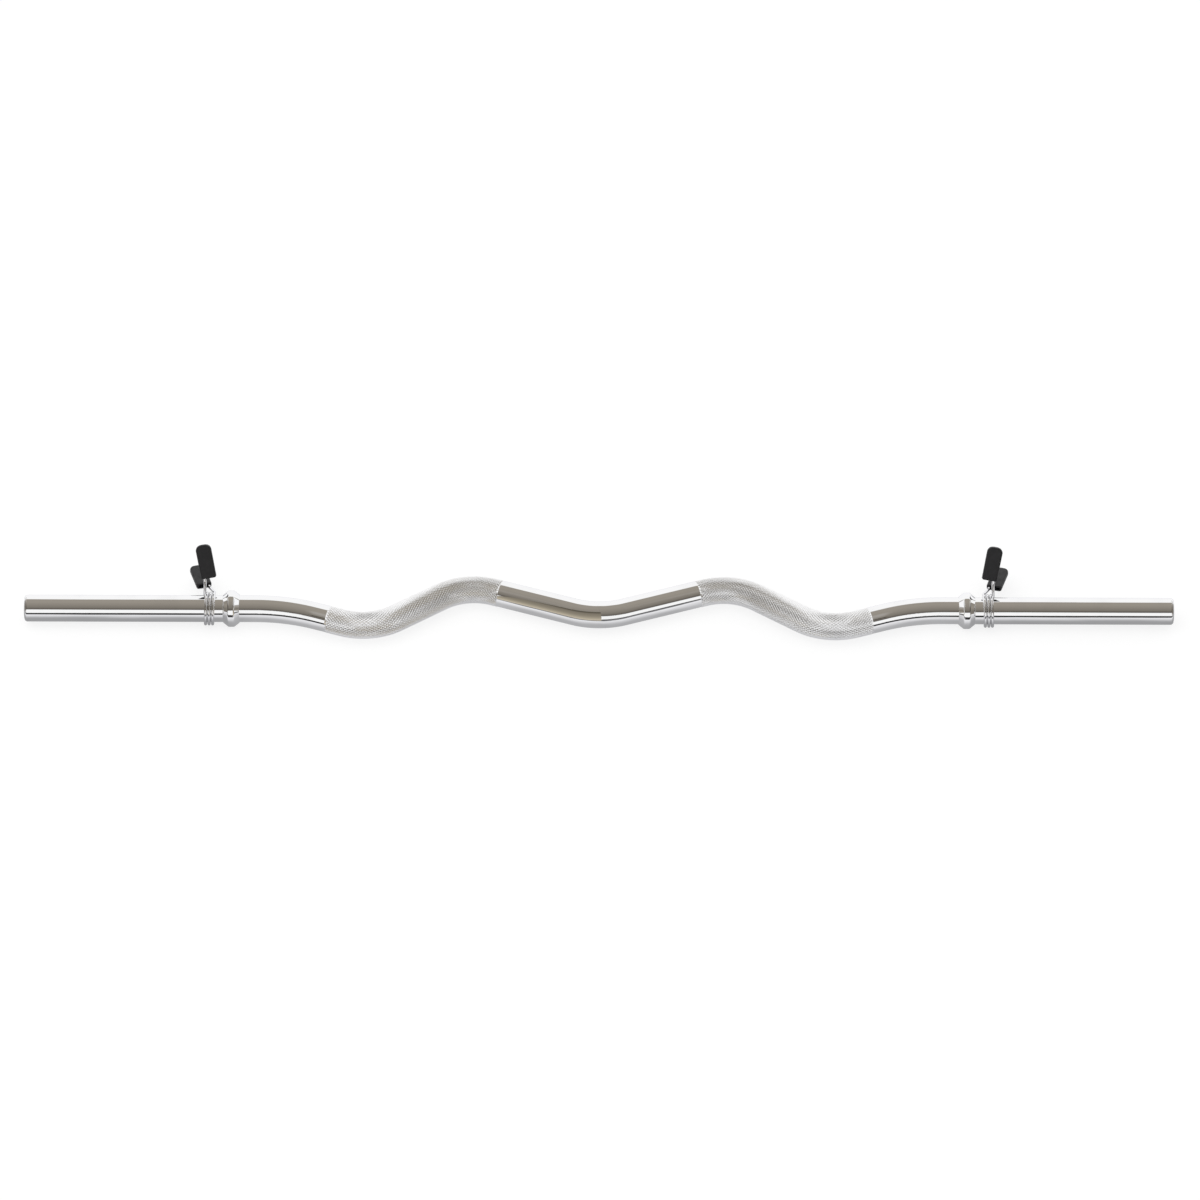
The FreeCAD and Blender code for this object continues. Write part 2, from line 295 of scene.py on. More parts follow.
def scaled(tree, vector, factor):
    node = add_node(tree, "ShaderNodeVectorMath", {0: vector, "Scale": factor}, operation="SCALE")
    return node.outputs[0]


def noise(tree, vector, scale, detail):
    inputs = {"Vector": vector, "Scale": scale, "Detail": detail}
    return add_node(tree, "ShaderNodeTexNoise", inputs).outputs[0]


def between(tree, value, low, high, out_low, out_high):
    """A value eased from one range to another."""
    inputs = {0: value, 1: low, 2: high, 3: out_low, 4: out_high}
    return add_node(tree, "ShaderNodeMapRange", inputs, interpolation_type="SMOOTHSTEP").outputs[0]


def mix_colours(tree, factor, first, second):
    inputs = {0: factor, 6: first, 7: second}
    return add_node(tree, "ShaderNodeMix", inputs, data_type="RGBA").outputs[2]


def dimmed(tint, tone):
    return tuple(tone * c for c in tint)


def toned(tint, tones):
    """A colour in several tones, each with its place."""
    return [(place, dimmed(tint, tone)) for place, tone in tones]


def new_ramp(tree, place, bands):
    """A colour for each place, from the first band's to the last one's."""
    low, high = bands[0][0], bands[-1][0]
    along = add_node(tree, "ShaderNodeMapRange", {0: place, 1: low, 2: high})
    ramp = add_node(tree, "ShaderNodeValToRGB", {0: along.outputs[0]})
    stops = ramp.color_ramp.elements
    while len(stops) < len(bands):
        stops.new(1)
    for stop, (value, tint) in zip(stops, bands):
        stop.position = (value - low) / (high - low)
        stop.color = (*tint, 1)
    return ramp.outputs[0]


def shared_tree(name, build):
    """The node group of that name, built when it is first needed."""
    return bpy.data.node_groups.get(name) or build()


def plating_group():
    """Polished plating: a faint ripple, fine polishing lines and smudges of handling."""
    inputs = [("Colour", "Color"), ("Dull colour", "Color")]
    inputs += [(name, "Float") for name in ("Polish", "Smudge", "Ripple")]
    outputs = [("Colour", "Color"), ("Roughness", "Float"), ("Normal", "Vector")]
    tree, given, made = new_tree("plating", "ShaderNodeTree", inputs, outputs)
    place = add_node(tree, "ShaderNodeTexCoord").outputs["Object"]
    smudges = between(tree, noise(tree, place, scale=38, detail=4), 0.45, 0.72, 0, 1)
    drawn = add_node(tree, "ShaderNodeMapping", {"Vector": place, "Scale": (60, 2600, 2600)})
    lines = noise(tree, drawn.outputs[0], scale=1, detail=2)
    dull = math_node(tree, "MULTIPLY", smudges, given["Smudge"])
    line_dull = math_node(tree, "MULTIPLY", lines, 0.02)
    rough = math_node(tree, "ADD", given["Polish"], dull)
    tree.links.new(math_node(tree, "ADD", rough, line_dull), made["Roughness"])
    stain = math_node(tree, "MULTIPLY", smudges, 0.35)
    stained = mix_colours(tree, stain, given["Colour"], given["Dull colour"])
    tree.links.new(stained, made["Colour"])
    waves = noise(tree, place, scale=95, detail=1)
    bump = {"Strength": 1, "Distance": given["Ripple"], "Height": waves}
    tree.links.new(add_node(tree, "ShaderNodeBump", bump).outputs[0], made["Normal"])
    return tree


def new_material(name):
    """An empty material and its nodes."""
    material = bpy.data.materials.new(name)
    material.use_nodes = True
    material.node_tree.nodes.clear()
    return material, material.node_tree


def surface(tree, inputs):
    """The surface's shader, with what varies linked and its constants on its own sockets."""
    shader = add_node(tree, "ShaderNodeBsdfPrincipled", inputs)
    add_node(tree, "ShaderNodeOutputMaterial", {"Surface": shader.outputs[0]})


def plated(name, tint, polish, smudge, ripple, groove_shade=None):
    """A chromed finish, with painted shade that darkens it at the bottom of its grooves where it has
    them.
    """
    found = bpy.data.materials.get(name)
    if found:
        return found
    material, tree = new_material(name)
    values = {
        "Colour": (*tint, 1),
        "Dull colour": (*dimmed(tint, 0.9), 1),
        "Polish": polish,
        "Smudge": smudge,
        "Ripple": ripple,
    }
    group = shared_tree("plating", plating_group)
    plating = add_node(tree, "ShaderNodeGroup", values, node_tree=group).outputs
    inputs = {
        "Base Color": plating["Colour"],
        "Roughness": plating["Roughness"],
        "Normal": plating["Normal"],
        "Metallic": 1.0,
    }
    if groove_shade:
        # Painted shade: darker towards the bottom of the knurl's grooves, by how high a point stands
        # on its diamond
        rise = add_node(tree, "ShaderNodeAttribute", attribute_name="rise").outputs["Fac"]
        clear = between(tree, rise, 0, 0.5, 0, 1)
        inputs["Base Color"] = mix_colours(tree, clear, (*groove_shade, 1), plating["Colour"])
    surface(tree, inputs)
    return material


def bar_chrome(finishes):
    tint = finishes.chrome
    return plated("polished_chrome", tint, polish=0.02, smudge=0.04, ripple=0.000012)


def knurl_chrome(finishes):
    tint, groove_shade = finishes.knurl, finishes.groove_shade
    return plated("knurled_chrome", tint, polish=0.3, smudge=0.03, ripple=0.000002, groove_shade=groove_shade)


def wire_chrome(finishes):
    tint = finishes.wire
    return plated("spring_wire_chrome", tint, polish=0.035, smudge=0.04, ripple=0.000006)


def grip_plastic(finishes):
    """Black moulded plastic: fine grain, rubbed edges and a little dust."""
    material, tree = new_material("black_moulded_plastic")
    place = add_node(tree, "ShaderNodeTexCoord").outputs["Object"]
    grain = noise(tree, place, scale=2600, detail=3)
    patches = noise(tree, place, scale=160, detail=3)
    corners = add_node(tree, "ShaderNodeNewGeometry").outputs["Pointiness"]
    edges = between(tree, corners, 0.51, 0.6, 0, 1)
    worn = math_node(tree, "MULTIPLY", edges, between(tree, patches, 0.3, 0.7, 0.3, 1))
    dust = between(tree, patches, 0.45, 0.8, 0, 0.25)
    pale = math_node(tree, "MAXIMUM", worn, dust)
    fresh, rubbed = (*finishes.plastic, 1), (*dimmed(finishes.plastic, 2.5), 1)
    bump = {"Strength": 0.6, "Distance": 0.00006, "Height": grain}
    inputs = {
        "Base Color": mix_colours(tree, pale, fresh, rubbed),
        "Roughness": between(tree, patches, 0.2, 0.8, 0.42, 0.6),
        "Normal": add_node(tree, "ShaderNodeBump", bump).outputs[0],
        "IOR": 1.48,
    }
    surface(tree, inputs)
    return material


def round_stock_tree():
    """Round stock swept along a line of points, as thick at each point as its thickness says."""
    inputs = [("Path", "Geometry"), ("Radius", "Float"), ("Sides", "Int"), ("Material", "Material")]
    tree, given, made = new_tree(
        "round_stock", "GeometryNodeTree", inputs, [("Stock", "Geometry")]
    )
    line = add_node(tree, "GeometryNodeMeshToCurve", {"Mesh": given["Path"]}).outputs[0]
    section = {"Resolution": given["Sides"], "Radius": given["Radius"]}
    section = add_node(tree, "GeometryNodeCurvePrimitiveCircle", section).outputs[0]
    thickness = {"Name": "thickness"}
    thickness = add_node(tree, "GeometryNodeInputNamedAttribute", thickness).outputs[0]
    sweep = {"Curve": line, "Profile Curve": section, "Scale": thickness, "Fill Caps": True}
    stock = add_node(tree, "GeometryNodeCurveToMesh", sweep).outputs[0]
    finish_tree(tree, stock, given["Material"], made[0], True)
    return tree


def knurl_tree():
    """Rows of low pyramids, staggered round a rod and carried along its bends."""
    inputs = [
        ("Path", "Geometry"),
        ("Base radius", "Float"),
        ("Diamonds around", "Int"),
        ("Rows", "Int"),
        ("Height", "Float"),
        ("Flat share", "Float"),
        ("Material", "Material"),
    ]
    tree, given, made = new_tree(
        "diamond_knurl", "GeometryNodeTree", inputs, [("Knurling", "Geometry")]
    )
    line = add_node(tree, "GeometryNodeMeshToCurve", {"Mesh": given["Path"]}).outputs[0]
    reach = add_node(tree, "GeometryNodeCurveLength", {"Curve": line}).outputs[0]
    step = math_node(tree, "DIVIDE", reach, math_node(tree, "ADD", given["Rows"], 1.0))
    half_turn = math_node(tree, "DIVIDE", math.pi, given["Diamonds around"])

    count = math_node(tree, "MULTIPLY", given["Diamonds around"], given["Rows"])
    index = add_node(tree, "GeometryNodeInputIndex").outputs[0]
    row = math_node(tree, "FLOOR", math_node(tree, "DIVIDE", index, given["Diamonds around"]))
    column = math_node(tree, "MODULO", index, given["Diamonds around"])
    stagger = math_node(tree, "MODULO", row, 2.0)
    turn = math_node(tree, "ADD", math_node(tree, "MULTIPLY", column, 2.0), stagger)
    place = {
        "X": math_node(tree, "MULTIPLY", turn, half_turn),
        "Y": math_node(tree, "MULTIPLY", math_node(tree, "ADD", row, 1.0), step),
    }
    place = add_node(tree, "ShaderNodeCombineXYZ", place).outputs[0]
    points = add_node(tree, "GeometryNodePoints", {"Count": count, "Position": place}).outputs[0]

    pyramid = {"Vertices": 4, "Radius Top": given["Flat share"], "Radius Bottom": 1, "Depth": 1}
    pyramid = add_node(tree, "GeometryNodeMeshCone", pyramid, fill_type="NGON").outputs[0]
    size = {"X": half_turn, "Y": step, "Z": given["Height"]}
    size = add_node(tree, "ShaderNodeCombineXYZ", size).outputs[0]
    laid = {"Points": points, "Instance": pyramid, "Scale": size}
    laid = add_node(tree, "GeometryNodeInstanceOnPoints", laid).outputs[0]
    flat = add_node(tree, "GeometryNodeRealizeInstances", {"Geometry": laid}).outputs[0]

    here = add_node(tree, "GeometryNodeInputPosition").outputs[0]
    here = add_node(tree, "ShaderNodeSeparateXYZ", {0: here}).outputs
    along = {"Curves": line, "Length": here[1]}
    along = add_node(tree, "GeometryNodeSampleCurve", along, mode="LENGTH").outputs
    up = (0, 0, 1)
    aside = vector_math(tree, "CROSS_PRODUCT", up, along["Tangent"])
    outward = vector_math(
        tree,
        "ADD",
        scaled(tree, aside, math_node(tree, "COSINE", here[0])),
        scaled(tree, up, math_node(tree, "SINE", here[0])),
    )
    out = scaled(tree, outward, math_node(tree, "ADD", given["Base radius"], here[2]))
    rise = math_node(tree, "DIVIDE", here[2], given["Height"])
    marked = {"Geometry": flat, "Name": "rise", "Value": rise}
    marked = add_node(tree, "GeometryNodeStoreNamedAttribute", marked).outputs[0]
    wrapped = {"Geometry": marked, "Position": vector_math(tree, "ADD", along["Position"], out)}
    wrapped = add_node(tree, "GeometryNodeSetPosition", wrapped).outputs[0]
    finish_tree(tree, wrapped, given["Material"], made[0], False)
    return tree


def finish_tree(tree, geometry, material, output, smooth):
    """Ends a tree in real geometry with its material, as the export needs it."""
    real = add_node(tree, "GeometryNodeRealizeInstances", {"Geometry": geometry}).outputs[0]
    shaded = {"Geometry": real, "Shade Smooth": smooth}
    shaded = add_node(tree, "GeometryNodeSetShadeSmooth", shaded).outputs[0]
    coated = {"Geometry": shaded, "Material": material}
    coated = add_node(tree, "GeometryNodeSetMaterial", coated).outputs[0]
    tree.links.new(coated, output)


def new_piece(name, vertices, edges=(), faces=()):
    mesh = bpy.data.meshes.new(name)
    mesh.from_pydata(vertices, edges, faces)
    piece = bpy.data.objects.new(name, mesh)
    bpy.context.scene.collection.objects.link(piece)
    return piece


def grown(name, points, tree, inputs, thicknesses=None):
    """A piece that a node tree grows on a line of points, turned into a plain mesh."""
    count = len(points)
    piece = new_piece(name, points, [(i, i + 1) for i in range(count - 1)])
    thickness = piece.data.attributes.new("thickness", "FLOAT", "POINT")
    thickness.data.foreach_set("value", thicknesses or [1] * count)
    modifier = piece.modifiers.new(tree.name, "NODES")
    modifier.node_group = tree
    for item in tree.interface.items_tree:
        if item.in_out == "INPUT" and item.name in inputs:
            modifier[item.identifier] = inputs[item.name]
    evaluated = piece.evaluated_get(bpy.context.evaluated_depsgraph_get())
    mesh = bpy.data.meshes.new_from_object(evaluated)
    piece.modifiers.clear()
    line = piece.data
    piece.data = mesh
    bpy.data.meshes.remove(line)
    mesh.name = name
    if not mesh.polygons:
        raise RuntimeError(name + " came out empty")
    return piece


def face_outward(piece):
    """Turns a closed mesh the right way out."""
    shape = bmesh.new()
    shape.from_mesh(piece.data)
    bmesh.ops.remove_doubles(shape, verts=shape.verts, dist=1e-7)
    bmesh.ops.recalc_face_normals(shape, faces=shape.faces)
    shape.to_mesh(piece.data)
    shape.free()


def mount(piece, body, slot, *nodes):
    """Puts a piece on its body, in place of the solids that it stands for."""
    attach(piece, body)
    if nodes:
        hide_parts(*nodes)


def rounded(points, radii):
    """Points along straight runs, with an arc at each corner."""
    path = [points[0]]
    for before, corner, after, radius in zip(points, points[1:], points[2:], radii):
        back = (before - corner).normalized()
        ahead = (after - corner).normalized()
        turn = math.pi - back.angle(ahead)
        centre = corner + (back + ahead).normalized() * (radius / math.cos(turn / 2))
        reach = radius * math.tan(turn / 2)
        first = corner + back * reach - centre
        axis = first.cross(corner + ahead * reach - centre)
        steps = max(2, math.ceil(turn / ARC_STEP))
        for i in range(steps + 1):
            path.append(centre + Matrix.Rotation(turn * i / steps, 3, axis) @ first)
    path.append(points[-1])
    return path


def bar_bends(sizes):
    """Corners of the bar's right half, as (x, y, bend radius), from its middle to its sleeve."""
    low = -(sizes.first_bend_x - sizes.low_bend_x) * math.tan(sizes.outer_angle)
    high = low + (sizes.low_bend_x - sizes.high_bend_x) * math.tan(sizes.grip_angle)
    centre = high - sizes.high_bend_x * math.tan(sizes.centre_angle)
    return [
        (0, centre, sizes.centre_bend_radius),
        (sizes.high_bend_x, high, sizes.grip_bend_radius),
        (sizes.low_bend_x, low, sizes.grip_bend_radius),
        (sizes.first_bend_x, 0, sizes.first_bend_radius),
    ]


def bar_line(sizes):
    """The centre line of the bar, from tip to tip."""
    right = bar_bends(sizes)
    bends = [(-x, y, radius) for x, y, radius in reversed(right[1:])] + right
    ends = [Vector((side * sizes.half_length, 0, 0)) for side in (-1, 1)]
    corners = [Vector((x, y, 0)) for x, y, radius in bends]
    path = rounded([ends[0], *corners, ends[1]], [radius for x, y, radius in bends])
    return [AXIS + point for point in path]


def at_x(line, x):
    """The point of the bar's line at a given x."""
    after = min(max(bisect.bisect_left([p.x for p in line], x), 1), len(line) - 1)
    first, second = line[after - 1], line[after]
    return first.lerp(second, (x - first.x) / (second.x - first.x))


def rod_radius_at(sizes, x):
    """Radius of the rod: less under the knurling, and rounded off at the tips."""
    x = abs(x)
    past = x - (sizes.half_length - sizes.tip_round)
    if past > 0:
        dip = sizes.tip_round - math.sqrt(max(0, sizes.tip_round**2 - past**2))
        return sizes.radius - dip
    under = min(x - sizes.knurl_inner_x, sizes.knurl_outer_x - x)
    depth = sizes.knurl_depth - sizes.knurl_rise
    return sizes.radius - depth * min(max(under / depth, 0), 1)


def rod_stations(sizes, line):
    """Where the rod needs a section: along its bends, at its knurling and round its tips."""
    depth = sizes.knurl_depth - sizes.knurl_rise
    right = [sizes.knurl_inner_x - STATION_GAP, sizes.knurl_inner_x]
    right += [sizes.knurl_inner_x + depth, sizes.knurl_outer_x - depth]
    right += [sizes.knurl_outer_x, sizes.knurl_outer_x + STATION_GAP]
    right.append(sizes.half_length - sizes.tip_round - STATION_GAP)
    tip_steps = 10
    for i in range(tip_steps + 1):
        past = math.sin(math.pi / 2 * i / tip_steps) * sizes.tip_round
        right.append(sizes.half_length - sizes.tip_round + past)
    right += [p.x for p in line if 0 < p.x < sizes.half_length - sizes.tip_round - STATION_GAP]
    return sorted([-x for x in right] + [0] + right)


class CURLBAR_OT_rod(bpy.types.Operator):
    """Sweep the bent rod, with its rounded tips"""

    bl_idname = "curl_bar.rod"
    bl_label = "Bent rod"

    def execute(self, context):
        sizes = context.scene.curl_bar_rod
        line = bar_line(sizes)
        stations = rod_stations(sizes, line)
        inputs = {
            "Radius": sizes.radius,
            "Sides": 96,
            "Material": bar_chrome(context.scene.curl_bar_finishes),
        }
        thicknesses = [rod_radius_at(sizes, x) / sizes.radius for x in stations]
        points = [at_x(line, x) for x in stations]
        tree = shared_tree("round_stock", round_stock_tree)
        rod = grown("chrome_rod", points, tree, inputs, thicknesses)
        face_outward(rod)
        mount(rod, "bar", "bar_chrome", "bent_bar", "left_sleeve", "right_sleeve")
        return {"FINISHED"}


class CURLBAR_OT_knurling(bpy.types.Operator):
    """Lay the diamond knurling round both grips"""

    bl_idname = "curl_bar.knurling"
    bl_label = "Knurling"

    def execute(self, context):
        sizes = context.scene.curl_bar_rod
        line = bar_line(sizes)
        tree = shared_tree("diamond_knurl", knurl_tree)
        depth = sizes.knurl_depth + KNURL_SINK
        around = round(2 * math.pi * sizes.radius / sizes.knurl_pitch)
        half_row = sizes.knurl_pitch / 2 / math.tan(sizes.knurl_angle)
        for name, side in SIDES.items():
            ends = sorted((side * sizes.knurl_inner_x, side * sizes.knurl_outer_x))
            stations = [ends[0], *(p.x for p in line if ends[0] < p.x < ends[1]), ends[1]]
            points = [at_x(line, x) for x in stations]
            reach = sum((b - a).length for a, b in zip(points, points[1:]))
            inputs = {
                "Base radius": sizes.radius + sizes.knurl_rise - depth,
                "Diamonds around": around,
                "Rows": round(reach / half_row) - 1,
                "Height": depth,
                "Flat share": sizes.knurl_flat,
                "Material": knurl_chrome(context.scene.curl_bar_finishes),
            }
            knurling = grown(name + "_knurling", points, tree, inputs)
            mount(knurling, "bar", "bar_chrome")
        return {"FINISHED"}


def turned(name, outline, material):
    """A ring turned from a closed outline of (x, radius) round the sleeve's axis."""
    count = 144
    vertices = []
    for i in range(count):
        way = 2 * math.pi * i / count
        for x, radius in outline:
            vertices.append(AXIS + Vector((x, radius * math.sin(way), radius * math.cos(way))))
    size = len(outline)
    faces = []
    for i in range(count):
        here, there = i * size, (i + 1) % count * size
        for j in range(size):
            k = (j + 1) % size
            faces.append((here + j, here + k, there + k, there + j))
    ring = new_piece(name, vertices, (), faces)
    face_outward(ring)
    ring.data.shade_smooth()
    ring.data.set_sharp_from_angle(angle=math.radians(40))
    ring.data.materials.append(material)
    return ring


class CURLBAR_OT_collars(bpy.types.Operator):
    """Turn the two inner collars"""

    bl_idname = "curl_bar.collars"
    bl_label = "Inner collars"

    def execute(self, context):
        sizes = context.scene.curl_bar_rod
        middle = (sizes.collar_inner_x + sizes.collar_outer_x) / 2
        half_width = (sizes.collar_outer_x - sizes.collar_inner_x) / 2
        half_land = sizes.collar_land / 2
        bore = sizes.radius - COLLAR_SINK
        rim = sizes.radius + sizes.collar_rim
        corners = [
            (-half_width, bore),
            (-half_width, rim),
            (-half_land, sizes.collar_radius),
            (half_land, sizes.collar_radius),
            (half_width, rim),
            (half_width, bore),
        ]
        rounds = [COLLAR_FACE_ROUND, sizes.collar_round, sizes.collar_round, COLLAR_FACE_ROUND]
        outline = rounded([Vector((x, radius, 0)) for x, radius in corners], rounds)
        chrome = bar_chrome(context.scene.curl_bar_finishes)
        for name, side in SIDES.items():
            profile = [(side * (middle + p.x), p.y) for p in outline]
            collar = turned(name + "_collar", profile, chrome)
            mount(collar, "bar", "collar_chrome", name + "_inner_collar")
        return {"FINISHED"}


def across(way):
    """The direction square to the sleeve, turned back from straight up."""
    return Vector((0, math.sin(way), math.cos(way)))


def coil_ends(sizes):
    """How far round the coil starts, at its front leg, and ends, at its rear leg."""
    quarter = math.pi / 2
    return sizes.front_angle + quarter, sizes.rear_angle - quarter + 2 * math.pi * sizes.whole_turns


def coil_point(sizes, way):
    """A point of the coil's centre line, and the way the wire runs there."""
    end = coil_ends(sizes)[1]
    x = sizes.coil_inner_x + sizes.turn_pitch * (end - way) / (2 * math.pi)
    climb = math.atan(sizes.turn_pitch / (2 * math.pi * sizes.coil_radius))
    onward = across(way + math.pi / 2) * math.cos(climb) - Vector((math.sin(climb), 0, 0))
    return AXIS + Vector((x, 0, 0)) + across(way) * sizes.coil_radius, onward


def coil_points(sizes):
    """The coil's centre line, with a short straight stub at each end."""
    start, end = coil_ends(sizes)
    stub = 2 * sizes.wire_radius
    steps = round((end - start) / COIL_STEP)
    places = [coil_point(sizes, start + (end - start) * i / steps) for i in range(steps + 1)]
    first, out = places[0]
    last, onward = places[-1]
    return [first - out * stub, *(point for point, way in places), last + onward * stub]


def leg_start(sizes, is_front):
    """Where a leg leaves the coil, and which way."""
    start, onward = coil_point(sizes, coil_ends(sizes)[0 if is_front else 1])
    return start, -onward if is_front else onward


def leg_knee(sizes, is_front):
    """The end of a leg's leaning run, where it bends towards the other leg."""
    start, away = leg_start(sizes, is_front)
    upright = across(sizes.front_angle if is_front else sizes.rear_angle)
    lean = math.tan(sizes.front_lean if is_front else sizes.rear_lean)
    return start + away * sizes.leg_heel + (upright + Vector((lean, 0, 0))) * sizes.leg_run


def grip_frame(sizes, is_front):
    """The middle of a grip's root, the ways along and across it, and where its wire enters."""
    if is_front:
        upright, lean = across(sizes.front_angle + sizes.leg_bend), sizes.front_grip_lean
    else:
        upright, lean = across(sizes.rear_angle - sizes.leg_bend), sizes.rear_grip_lean
    sideways = Vector((1, 0, 0))
    along = upright * math.cos(lean) + sideways * math.sin(lean)
    width = sideways * math.cos(lean) - upright * math.sin(lean)
    entry = (-1 if is_front else 1) * sizes.loop_radius
    root = leg_knee(sizes, is_front) + along * sizes.leg_to_grip + width * entry
    return root, along, width, entry


def leg_points(sizes, is_front):
    """A leg of the spring, bent into its grip and looped back inside it."""
    start, away = leg_start(sizes, is_front)
    root, along, width, entry = grip_frame(sizes, is_front)
    loop = root + along * sizes.loop_reach
    points = [
        start + away * (2 * sizes.wire_radius),
        start + away * sizes.leg_heel,
        leg_knee(sizes, is_front),
        loop - width * entry,
        loop + width * entry,
        root + along * sizes.loop_tail + width * entry,
    ]
    loop_radii = [sizes.loop_radius, sizes.loop_radius]
    return rounded(points, [sizes.heel_radius, sizes.leg_bend_radius, *loop_radii])


def on_side(points, side):
    """Points of the right clip, or the same points of the left one."""
    return [Vector((side * p.x, p.y, p.z)) for p in points]


class CURLBAR_OT_springs(bpy.types.Operator):
    """Wind the springs of both clips and bend their legs"""

    bl_idname = "curl_bar.springs"
    bl_label = "Springs"

    def execute(self, context):
        sizes = context.scene.curl_bar_clip
        tree = shared_tree("round_stock", round_stock_tree)
        inputs = {
            "Radius": sizes.wire_radius,
            "Sides": 28,
            "Material": wire_chrome(context.scene.curl_bar_finishes),
        }
        coil = coil_points(sizes)
        for name, side in SIDES.items():
            for place in ("front", "rear"):
                points = on_side(leg_points(sizes, place == "front"), side)
                leg = grown(f"{name}_{place}_spring_wire", points, tree, inputs)
                face_outward(leg)
                mount(leg, f"{name}_{place}_handle", "spring_wire", f"{name}_{place}_spring_leg")
            turns = grown(name + "_coil", on_side(coil, side), tree, inputs)
            face_outward(turns)
            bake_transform(turns)
            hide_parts(name + "_spring_coil")
        return {"FINISHED"}


def tongue_ring(half_width, half_depth, edge, crown, ridge):
    """A section of a grip: crowned faces, rounded edges and a parting line on each narrow side."""
    edge = min(edge, EDGE_SHARE * half_depth, EDGE_SHARE * half_width)
    line = PARTING_SHARE * half_depth
    arc_steps, face_steps = 6, 6
    quarter = []
    for i in range(arc_steps + 1):
        way = math.pi / 2 * i / arc_steps
        quarter.append(
            (half_width - edge + edge * math.cos(way), half_depth - edge + edge * math.sin(way))
        )
    side = [(half_width, -line), (half_width + ridge, 0), (half_width, line)]
    flat = half_width - edge
    top = [(flat - 2 * flat * i / face_steps, half_depth) for i in range(1, face_steps)]
    half = side + quarter + top
    mirrored = [(-x, y) for x, y in reversed(quarter)]
    ring = half + mirrored
    ring += [(-x, -y) for x, y in ring]
    return [
        (x, y + math.copysign(crown * max(0, 1 - (x / half_width) ** 2), y) * (abs(y) > line))
        for x, y in ring
    ]


def rounding(past, radius):
    """How far a rounded corner has drawn in, past the place where it starts."""
    past = min(max(past, 0), radius)
    return radius - math.sqrt(radius**2 - past**2)


def tongue_mesh(sizes):
    """A grip standing on its root: its sections from the tip down, then up into its pocket."""
    half = sizes.grip_thickness / 2
    edge = sizes.grip_edge
    stations = 9
    tip, root = sizes.grip_tip_round, sizes.grip_root_round
    heights = [
        sizes.grip_length - tip + tip * math.sin(math.pi / 2 * (1 - i / stations))
        for i in range(stations)
    ]
    middle = 12
    span = sizes.grip_length - tip - root
    heights += [root + span * (1 - i / middle) for i in range(middle)]
    heights += [root * (1 - math.sin(math.pi / 2 * i / stations)) for i in range(stations + 1)]
    taper = sizes.grip_tip_width - sizes.grip_root_width
    rings = []
    for z in heights:
        wide = sizes.grip_root_width + taper * (z / sizes.grip_length)
        half_width = wide / 2 - rounding(z - (sizes.grip_length - tip), tip)
        half_width -= rounding(root - z, root)
        half_depth = half - GRIP_CROWN - rounding(z - (sizes.grip_length - edge), edge)
        half_depth -= rounding(GRIP_ROOT_EDGE - z, GRIP_ROOT_EDGE)
        ring = tongue_ring(half_width, half_depth, edge, GRIP_CROWN, sizes.parting_ridge)
        rings.append([(x, y, z) for x, y in ring])
    mouth = sizes.loop_radius + sizes.wire_radius + POCKET_CLEARANCE
    slot = sizes.wire_radius + POCKET_CLEARANCE
    pocket = [
        (0, POCKET_CHAMFER),
        (POCKET_CHAMFER, 0),
        (sizes.loop_reach, 0),
        (sizes.loop_reach + POCKET_END_DEPTH, -POCKET_END_TAPER),
    ]
    for z, spare in pocket:
        ring = tongue_ring(mouth + spare, slot + spare, POCKET_EDGE, 0, 0)
        rings.append([(x, y, z) for x, y in ring])
    count = len(rings[0])
    vertices = [Vector(p) for ring in rings for p in ring]
    faces = []
    for i in range(len(rings) - 1):
        for j in range(count):
            k = (j + 1) % count
            faces.append((i * count + j, (i + 1) * count + j, (i + 1) * count + k, i * count + k))
    faces.append(tuple(range(count)))
    faces.append(tuple(reversed(range(len(vertices) - count, len(vertices)))))
    return vertices, faces


class CURLBAR_OT_grips(bpy.types.Operator):
    """Mould the four flat grips of the clips"""

    bl_idname = "curl_bar.grips"
    bl_label = "Clip grips"

    def execute(self, context):
        sizes = context.scene.curl_bar_clip
        vertices, faces = tongue_mesh(sizes)
        plastic = grip_plastic(context.scene.curl_bar_finishes)
        for name, side in SIDES.items():
            for place in ("front", "rear"):
                root, along, width, entry = grip_frame(sizes, place == "front")
                depth = along.cross(width)
                placed = [root + width * v.x + depth * v.y + along * v.z for v in vertices]
                grip = new_piece(f"{name}_{place}_tongue", on_side(placed, side), (), faces)
                face_outward(grip)
                grip.data.shade_smooth()
                grip.data.set_sharp_from_angle(angle=math.radians(50))
                grip.data.materials.append(plastic)
                body = f"{name}_{place}_handle"
                mount(grip, body, "grip_plastic", f"{name}_{place}_grip")
        return {"FINISHED"}


